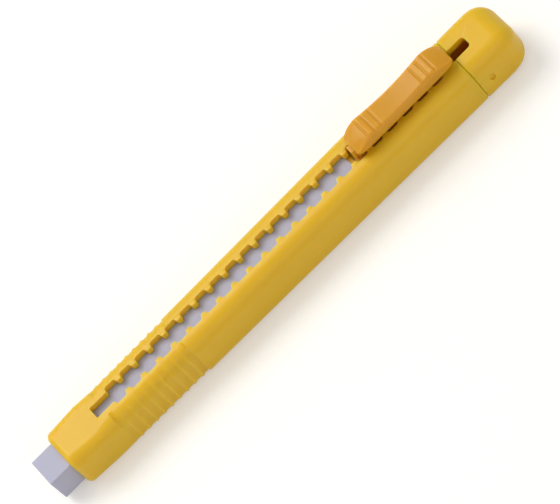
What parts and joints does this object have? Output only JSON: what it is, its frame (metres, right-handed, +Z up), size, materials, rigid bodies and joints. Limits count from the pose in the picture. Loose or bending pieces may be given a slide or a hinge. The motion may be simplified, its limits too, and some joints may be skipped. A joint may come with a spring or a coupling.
{
  "type": "retractable stick eraser",
  "caption": "Square eraser stick in a tapered plastic barrel with a scalloped slot; a sprung thumb slider is pressed and pushed to click the stick in or out.",
  "frame": {"origin": "centre of the bounding box's bottom face, on the surface that the barrel lies on", "axes": "+X from the eraser's tip to the tail cap, +Z up through the slot and the thumb slider"},
  "size_m": [0.1248, 0.0126, 0.0158],
  "materials": {
    "yellow_plastic": "injection-moulded yellow plastic with a soft satin gloss",
    "orange_plastic": "injection-moulded orange plastic, slightly waxy",
    "eraser_vinyl": "matt white vinyl",
    "spring_steel": "plain rolled spring steel"
  },
  "bodies": {
    "housing": {"barrel": "yellow_plastic", "tail_cap": "yellow_plastic"},
    "carriage": {"eraser": "eraser_vinyl", "eraser_holder": "orange_plastic", "slider_spring": "spring_steel"},
    "button": {"thumb_slider": "orange_plastic"}
  },
  "joints": [
    {"name": "carriage_slide", "type": "slide", "parent": "housing", "child": "carriage", "axis": [-1, 0, -0.0096], "range_m": [-0.00818, 0.06544]},
    {"name": "slider_press", "type": "slide", "parent": "carriage", "child": "button", "axis": [0.0096, 0, -1], "range_m": [0, 0.001], "stiffness_N_per_m": 1200, "springref_m": -0.0005, "deforming": ["slider_spring"]}
  ]
}
